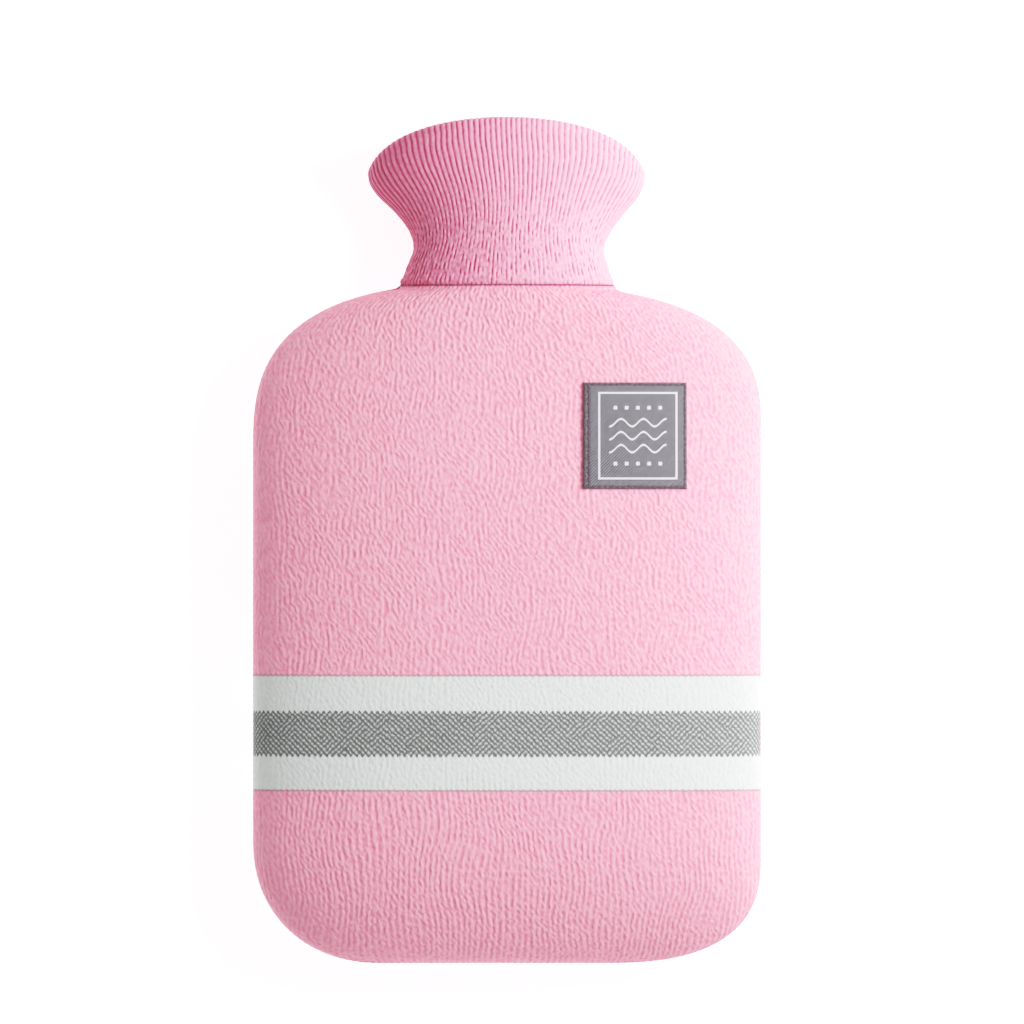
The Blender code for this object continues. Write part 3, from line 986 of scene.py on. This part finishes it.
def rib_relief(f, place, uv):
    """Height of the ribbed cloth, from 0 in a furrow to 1 on a crest."""
    u, v, _ = f.split(uv)
    cosine = f.maths("COSINE", f.times(f.times(u, float(RIBS)), math.pi))
    crest = f.maths("POWER", f.maths("ABSOLUTE", cosine), FLATTENED)
    low_down = f.ramp(f.times(v, 1 / UV_PER_METRE), *LOW_DOWN, *BROKEN)
    broken = f.times(f.ramp(f.noise(place, RIB_BREAK, 11), *BREAK_RANGE), low_down)
    height = f.blend(broken, crest, BREAK_HEIGHT)
    return f.times_add(f.noise(place, RIB_LUMP, 12), f.times(low_down, LUMP_HEIGHT), height)


rib_tree = relief_tree("collar ribs", rib_relief, RIB_DEPTH)

# %% The collar's yarn
RIB_SHADE = 0.10             # how much the fibres shade, and how high they stand
RIB_FUZZ = 0.2
RIB_BUMP = 0.12 * MM
# painted shade to the collar's left and painted light to its right, laid into the yarn's colour
SIDE_SHADE_REACH = (-55 * MM, 33 * MM)  # from left to right
SIDE_SHADE_AND_LIGHT = (-0.40, 0.16)          # how much deeper or higher the yarn looks there
RIB_DARKEST, RIB_PALEST = -0.1, 1.1

collar_yarn, f, shader, place = yarn_material("collar_yarn", roughness=0.85, sheen=0.06)
height = rib_relief(f, place, knit_uv(f))
fibre = f.noise(place, FIBRE, 6, detail=1.0)
# painted shade and painted light across the collar, darker to the left and paler to the right
side_shade_and_light = f.ramp(f.split(place)[0], *SIDE_SHADE_REACH, *SIDE_SHADE_AND_LIGHT)
# painted shade: low in the relief, in the furrows, the yarn takes ROSE's darker colour
lit = f.ramp(f.times_add(fibre, RIB_SHADE, f.add(height, side_shade_and_light)), RIB_DARKEST, RIB_PALEST)
finish_yarn(f, shader, f.tint(lit, *ROSE), f.times_add(fibre, RIB_FUZZ, height), RIB_BUMP)

run_tree(collar_cloth, rib_tree, collar_yarn)
skin_lengths = lengths_along(skin)[-1]

# %% [markdown]
# ## The woven label
# The label is a small grey twill with a dark sewn border. Its left edge is folded under,
# which shows as a second line of thread. The face carries a plain woven design of its
# own: a thin frame, three gentle waves and two rows of squares.

# %% The label's cloth
LABEL_CELLS = 96
LABEL_EDGE = 0.7 * MM        # roundness of its edge
LABEL_GROOVE = 0.35 * MM     # depth of the dent under the second line of thread
FOLD_STRIP = 2.1 * MM        # width of the folded edge at the left
LABEL_MIDDLE = ((label_low.x + label_high.x) / 2, (label_low.y + label_high.y) / 2)
LABEL_SIZE = (41.5 * MM, 42.7 * MM)
LABEL_THICKNESS = 1.0 * MM
RIM_SHARE = 0.35             # thickness of its rim, as a share

ticks = np.linspace(-0.5, 0.5, LABEL_CELLS + 1)
ly, lx = np.meshgrid(ticks, ticks, indexing="ij")
x = LABEL_MIDDLE[0] + lx * LABEL_SIZE[0]
y = LABEL_MIDDLE[1] + ly * LABEL_SIZE[1]
under = front_height(x, y) + GAP
to_edge = np.minimum((0.5 - np.abs(lx)) * LABEL_SIZE[0], (0.5 - np.abs(ly)) * LABEL_SIZE[1])
roundness = superellipse(1.0 - np.clip(to_edge / LABEL_EDGE, 0.0, 1.0), 2.0)
from_left = (lx + 0.5) * LABEL_SIZE[0]
groove = LABEL_GROOVE * np.exp(-((from_left - FOLD_STRIP) / LABEL_GROOVE) ** 2)
lift = LABEL_THICKNESS * (RIM_SHARE + (1 - RIM_SHARE) * roundness) - groove * roundness
label_cloth = sheet_of_cloth("label_cloth", join(x, y, under + lift), join(x, y, under),
                             join(lx + 0.5, ly + 0.5), np.ones(x.shape))

# %% The label's weave and its woven design
TWILL = 1.25 * MM
THREAD = 0.46 * MM
STROKE = 0.42 * MM           # half the width of a woven line
FRAME_INSET = 4.2 * MM
WAVES = {"rows": (-5.2 * MM, 0.0, 5.2 * MM), "swing": 1.5 * MM, "length": 9.0 * MM}
SQUARES = {"row": 11.2 * MM, "pitch": 4.5 * MM, "half": 0.75 * MM}
MARGIN = 4 * MM              # between the frame and the waves
SOFT = 0.12 * MM             # softness of the design's edges
WEAVE_KINK = (1.5 * MM, 1.5 * MM)
UNEVEN = 0.12                # how far a twill line strays, in lines, and how much it shades
TWILL_HEIGHT = 0.7
THREAD_HEIGHT = 0.3
WEAVE_PALEST = 0.9
PALE_COVER = 0.72            # how far the pale yarn covers the ground between its threads
THREAD_COVER = 0.25          # and how much further on a thread
DESIGN_HEIGHT = 0.5
WEAVE_BUMP = 0.12 * MM
WEAVE = linear(108, 105, 109), linear(150, 147, 152)  # dark and light threads
WOVEN_PALE = linear(236, 235, 242)

label_weave, f, shader, place = yarn_material("label_weave", roughness=0.7, sheen=0.1)
u, v, _ = f.split(knit_uv(f))
x = f.times_add(f.add(u, -0.5), LABEL_SIZE[0], -FOLD_STRIP / 2)
y = f.times(f.add(v, -0.5), LABEL_SIZE[1])
from_middle_x = f.maths("ABSOLUTE", x)
from_middle_y = f.maths("ABSOLUTE", y)
half_x = (LABEL_SIZE[0] - FOLD_STRIP) / 2 - FRAME_INSET
half_y = LABEL_SIZE[1] / 2 - FRAME_INSET
outside = f.maths("MAXIMUM", f.add(from_middle_x, -half_x), f.add(from_middle_y, -half_y))
design = f.between(outside, -STROKE, STROKE, SOFT)
across_design = f.between(x, MARGIN - half_x, half_x - MARGIN, SOFT)
swing = f.maths("SINE", f.times(x, 2 * math.pi / WAVES["length"]))
for row in WAVES["rows"]:
    off = f.add(y, f.times_add(swing, -WAVES["swing"], -row))
    line = f.times(f.between(off, -STROKE, STROKE, SOFT), across_design)
    design = f.maths("MAXIMUM", design, line)
turn = f.maths("FRACT", f.times_add(x, 1 / SQUARES["pitch"], 0.5))
in_cell = f.times(f.add(turn, -0.5), SQUARES["pitch"])
for row in (-SQUARES["row"], SQUARES["row"]):
    square = f.times(f.between(in_cell, -SQUARES["half"], SQUARES["half"], SOFT),
                     f.between(f.add(y, -row), -SQUARES["half"], SQUARES["half"], SOFT))
    design = f.maths("MAXIMUM", design, f.times(square, across_design))
kink = f.noise(place, WEAVE_KINK, 21)
twill = f.wave(f.times_add(kink, UNEVEN, f.times(f.maths("SUBTRACT", x, y), 1 / TWILL)))
threads = f.times(f.wave(f.times(x, 1 / THREAD)), f.wave(f.times(y, 1 / THREAD)))
height = f.times_add(threads, THREAD_HEIGHT, f.times(twill, TWILL_HEIGHT))
lit = f.ramp(f.times_add(kink, UNEVEN, height), 0.0, WEAVE_PALEST)
colour = f.tint(lit, *WEAVE)
cover = f.times_add(threads, THREAD_COVER, PALE_COVER)
colour = f.tint(f.times(design, cover), colour, WOVEN_PALE)
finish_yarn(f, shader, colour, f.times_add(design, DESIGN_HEIGHT, height), WEAVE_BUMP)
label_cloth.data.materials.append(label_weave)
print("label_weave has", len(f.tree.nodes), "nodes")

# %% [markdown]
# ## Sewing
# The seams are held by thread, and each stitch is a short piece of it that dips into the
# cloth at both ends, so a long thin ellipsoid is its shape. One tree places them: it
# walks along a line, sets a stitch every so often, and turns and shifts each one a
# little at random, as hand-guided sewing does. Each line carries an attribute `lift`,
# the direction out of the cloth.

# %% The tree that sews
stitch_tree, f, given = geometry_tree("sewing", {
    "Pitch": 2.3 * MM, "Length": 2.6 * MM, "Width": 1.2 * MM, "Height": 0.5 * MM,
    "Slant": 0.0, "Unevenness": 0.1})
out_of_cloth = attribute(f, "lift", "FLOAT_VECTOR")
tangent = f.out("GeometryNodeInputTangent")


def spaced_line(f, given, step):
    """The line as a curve, with a point at every step."""
    line = f.out("GeometryNodeMeshToCurve", {"Mesh": given["Cloth"]})
    return f.out("GeometryNodeResampleCurve", {"Curve": line, "Length": given[step]}, mode="LENGTH")


def chance(seed):
    """A random number for each stitch, as large as the unevenness at most."""
    made = f.node("FunctionNodeRandomValue", {2: -1.0, 3: 1.0, "Seed": seed}, data_type="FLOAT")
    return f.times(made.outputs[1], given["Unevenness"])


def smooth(f, mesh):
    return f.out("GeometryNodeSetShadeSmooth", {0: mesh})


aside = f.vector("CROSS_PRODUCT", out_of_cloth, tangent)
shift = f.scaled(aside, f.times(chance(3), given["Width"]))
shifted = f.out("GeometryNodeSetPosition",
                {"Geometry": spaced_line(f, given, "Pitch"), "Offset": shift})
turned = f.out("ShaderNodeVectorRotate",
               {"Vector": tangent, "Axis": out_of_cloth, "Angle": f.add(given["Slant"], chance(5))},
               rotation_type="AXIS_ANGLE")
facing_out = f.out("FunctionNodeAxesToRotation", {0: turned, 1: out_of_cloth},
                   primary_axis="X", secondary_axis="Z")
stitch = f.out("GeometryNodeMeshUVSphere", {"Segments": 10, "Rings": 6, "Radius": 0.5})
length = f.times(given["Length"], f.add(chance(7), 1.0))
scale = f.out("ShaderNodeCombineXYZ", {0: length, 1: given["Width"], 2: given["Height"]})
placed = f.out("GeometryNodeInstanceOnPoints", {
    "Points": shifted, "Instance": smooth(f, stitch), "Rotation": facing_out, "Scale": scale})
close_tree(f, placed, given)


# %% Lines to sew along
def sewing_line(name, lines):
    """An object of edges from pairs of points and lifts, for thread to follow."""
    points = np.concatenate([np.asarray(line, float) for line, _ in lines])
    lifts = np.concatenate([np.broadcast_to(lift, np.shape(line)) for line, lift in lines])
    edges = []
    first = 0
    for line, _ in lines:
        edges += [(i, i + 1) for i in range(first, first + len(line) - 1)]
        first += len(line)
    mesh = bpy.data.meshes.new(name)
    mesh.from_pydata(points.tolist(), edges, [])
    stored = mesh.attributes.new("lift", "FLOAT_VECTOR", "POINT")
    stored.data.foreach_set("vector", lifts.astype(np.float32).ravel())
    return add_object(name, mesh)


def sew(name, lines, thread, sizes=(), tree=stitch_tree):
    """Thread along lines, as a tree makes it."""
    made = run_tree(sewing_line(name, lines), tree, thread, sizes)
    print(name, len(made.data.polygons), "faces")
    return made


# %% [markdown]
# ## Thread
# Thread is smoother than the knit's yarn. A helper makes it in any colour: a slanting
# wave stands for its twist, and a little noise for its fibres. The twist's grooves are
# painted darker, as painted shade.

# %% Threads
TWIST = 0.5 * MM
THREAD_FIBRE = (0.3 * MM, 0.3 * MM)
# brightness of the painted shade in the twist's grooves, as a share of the thread's colour
GROOVE_SHADE = 0.72             # how bright the thread's dark side is
THREAD_SHADE = 0.2           # how much its fibres shade
THREAD_BUMP = 0.06 * MM


def thread_material(name, colour):
    """Twisted thread in one colour."""
    made, f, shader, place = yarn_material(name, roughness=0.6, sheen=0.15)
    x, y, z = f.split(place)
    slanting = f.add(x, f.add(y, z))
    twist = f.wave(f.times(slanting, 1 / TWIST))
    fibre = f.noise(place, THREAD_FIBRE, 31)
    lit = f.ramp(f.times_add(fibre, THREAD_SHADE, twist), 0.0, 1.0)
    # painted shade in the grooves of the twist
    dark = tuple(GROOVE_SHADE * c for c in colour[:3]) + (1.0,)
    finish_yarn(f, shader, f.tint(lit, dark, colour), twist, THREAD_BUMP)
    return made


border_thread = thread_material("border_thread", linear(122, 106, 115))
fold_thread = thread_material("fold_thread", linear(128, 122, 132))
seam_thread = thread_material("seam_thread", linear(196, 112, 146))
side_thread = thread_material("side_thread", linear(240, 176, 194))

# %% Sew the label
STITCH_INSET = 0.9 * MM
LEFT_INSET = 0.5 * MM
END_INSET = 1.6 * MM         # where the lines start and end, half a stitch inside the border
THREAD_SINK = 0.08 * MM      # how far the stitches' middles lie under the label's face
LINE_POINTS = 24


def on_label(x, y):
    """Points on the label's face, from distances to its middle."""
    x, y = LABEL_MIDDLE[0] + x, LABEL_MIDDLE[1] + y
    return join(x, y, front_height(x, y) + GAP + LABEL_THICKNESS - THREAD_SINK)


ticks = np.linspace(-1.0, 1.0, LINE_POINTS)
across, upright = [ticks * (size / 2 - END_INSET) for size in LABEL_SIZE]
UP = (0.0, 0.0, 1.0)
border_y = LABEL_SIZE[1] / 2 - STITCH_INSET
left_x = LEFT_INSET - LABEL_SIZE[0] / 2
fold_x = FOLD_STRIP - LABEL_SIZE[0] / 2
right_x = LABEL_SIZE[0] / 2 - STITCH_INSET
border = [(on_label(across, y), UP) for y in (-border_y, border_y)]
border += [(on_label(x, upright), UP) for x in (left_x, fold_x, right_x)]
label_stitches = sew("label_stitches", border, border_thread)
strip = [(on_label((left_x + fold_x) / 2, upright), UP)]
fold_stitches = sew("fold_stitches", strip, fold_thread, {
    "Pitch": 1.7 * MM, "Length": 2.0 * MM, "Width": 0.5 * MM, "Slant": math.radians(-38)})

# %% Sew the collar on
COLLAR_STITCH_DEPTH = 0.35 * MM
LOOP_POINTS = 361

turns = np.linspace(0.0, 2 * math.pi, LOOP_POINTS)
out, _ = collar_normals(0.0, turns)
loop = collar_surface(0.0, turns) - COLLAR_STITCH_DEPTH * out
loop[:, 1] = PANEL_TOP + GAP / 2
collar_stitches = sew("collar_stitches", [(loop, out)], seam_thread, {
    "Pitch": 2.0 * MM, "Length": 1.75 * MM, "Width": 0.55 * MM, "Height": 0.5 * MM})

# %% [markdown]
# ## The side and bottom seam
# A pink yarn joins the front to the back round the outline, and small slanting stitches
# whip it to both. It shows beside the white and grey stripes as a thin pink edge. The
# tree sweeps a circle along the outline for the yarn.

# %% The seam's yarn
YARN_RADIUS = 0.62 * MM
YARN_INSET = 1.05            # how far its middle lies inside the outline, in radii
WHIP_OUT = 0.75              # how far the stitches' middles lie outside the yarn's, in radii
OUTLINE_POINTS = 161

yarn_tree, f, given = geometry_tree("seam yarn", {"Radius": YARN_RADIUS, "Step": 0.9 * MM})
circle = f.out("GeometryNodeCurvePrimitiveCircle", {"Resolution": 10, "Radius": given["Radius"]},
               mode="RADIUS")
swept = f.out("GeometryNodeCurveToMesh", {
    "Curve": spaced_line(f, given, "Step"), "Profile Curve": circle, "Fill Caps": True})
close_tree(f, smooth(f, swept), given)

rows, _ = evenly(outline_curve, BOTTOM, PANEL_TOP, OUTLINE_POINTS)
outline = np.concatenate([join(side_width(RIGHT, rows), rows)[::-1],
                          join(-side_width(LEFT, rows), rows)])
tangent = np.gradient(outline, axis=0)
outwards = unit(join(-tangent[:, 1], tangent[:, 0], 0.0))
outline = join(*outline.T, SEAM_Z) - YARN_INSET * YARN_RADIUS * outwards
side_yarn = sew("side_yarn", [(outline, outwards)], side_thread, tree=yarn_tree)
whips = outline + WHIP_OUT * YARN_RADIUS * outwards
side_stitches = sew("side_stitches", [(whips, outwards)], side_thread, {
    "Pitch": 2.6 * MM, "Length": 2.6 * MM, "Width": 0.6 * MM, "Height": 0.45 * MM,
    "Slant": math.radians(52)})

# %% [markdown]
# ## Hand the pieces to the frame
# Each cloth stands for one node of the imported model, and the sewing goes with it. All
# of it rides on the one body.

# %% Tie the pieces to the frame
SLOTS = (
    # piece, material slot, node that it stands for
    (front_cloth, "body_knit", "front_panel"),
    (back_cloth, "body_knit", "back_panel"),
    (collar_cloth, "rib_knit", "neck_collar"),
    (label_cloth, "label_weave", "label"),
    (side_yarn, "body_knit", None),
    (side_stitches, "body_knit", None),
    (collar_stitches, "rib_knit", None),
    (label_stitches, "label_weave", None),
    (fold_stitches, "label_weave", None),
)
for piece, slot, node in SLOTS:
    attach(piece, "root")
    if node:
        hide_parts(node)

print(len(SLOTS), "pieces tied to the frame")
